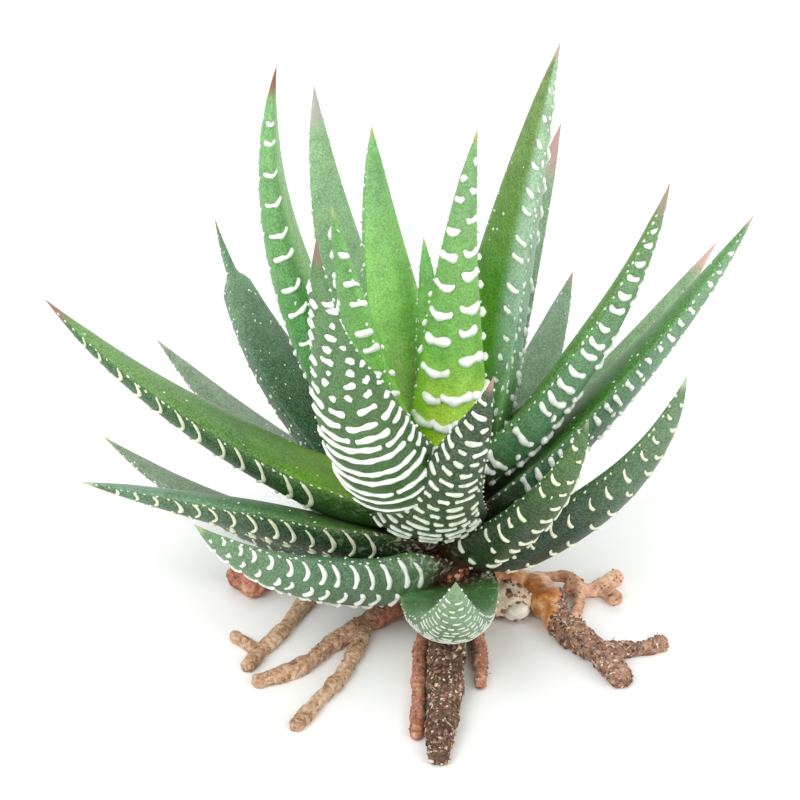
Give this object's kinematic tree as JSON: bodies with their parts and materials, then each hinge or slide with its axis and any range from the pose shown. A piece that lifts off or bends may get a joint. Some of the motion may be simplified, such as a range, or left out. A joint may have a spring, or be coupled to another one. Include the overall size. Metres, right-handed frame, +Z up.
{
  "type": "bare-root haworthia plant",
  "caption": "Small succulent lifted from its pot: a rosette of thick pointed leaves with raised white cross bars on a short stem, resting on splayed roots.",
  "frame": {"origin": "middle of the stem's flat lower end, on the ground", "axes": "+Z up the stem, -Y towards the front of the plant, where the crusted front root lies"},
  "size_m": [0.1232, 0.1085, 0.1009],
  "materials": {
    "young_leaf": "firm waxy leaf skin, fresh green, with raised white bars",
    "old_leaf": "firm waxy leaf skin, dark green, with raised white bars",
    "stem_bark": "rough red-brown bark with clinging crumbs",
    "bare_root": "dry wrinkled pale tan root skin",
    "crusted_root": "brown root crusted with soil",
    "potting_soil": "dry crumbly soil and bark chips",
    "pale_grain": "dull cream grain"
  },
  "bodies": {
    "root": {"stem": "stem_bark", "leaf_01": "young_leaf", "leaf_02": "young_leaf", "leaf_03": "young_leaf", "leaf_04": "young_leaf", "leaf_05": "young_leaf", "leaf_06": "young_leaf", "leaf_07": "young_leaf", "leaf_08": "young_leaf", "leaf_09": "old_leaf", "leaf_10": "old_leaf", "leaf_11": "old_leaf", "leaf_12": "old_leaf", "leaf_13": "old_leaf", "leaf_14": "old_leaf", "leaf_15": "old_leaf", "leaf_16": "old_leaf", "leaf_17": "old_leaf", "leaf_18": "old_leaf", "leaf_19": "old_leaf", "leaf_20": "old_leaf", "leaf_21": "old_leaf", "leaf_22": "old_leaf", "leaf_23": "old_leaf", "leaf_24": "old_leaf", "leaf_25": "old_leaf", "leaf_26": "old_leaf", "root_front": "crusted_root", "root_front_thin": "bare_root", "root_front_stub": "crusted_root", "root_left_near": "bare_root", "root_left_far": "bare_root", "root_back_left": "crusted_root", "root_right": "crusted_root", "root_right_loop": "bare_root", "root_back_a": "bare_root", "root_back_b": "bare_root", "soil_clump": "potting_soil", "pale_grain": "pale_grain"}
  },
  "joints": []
}
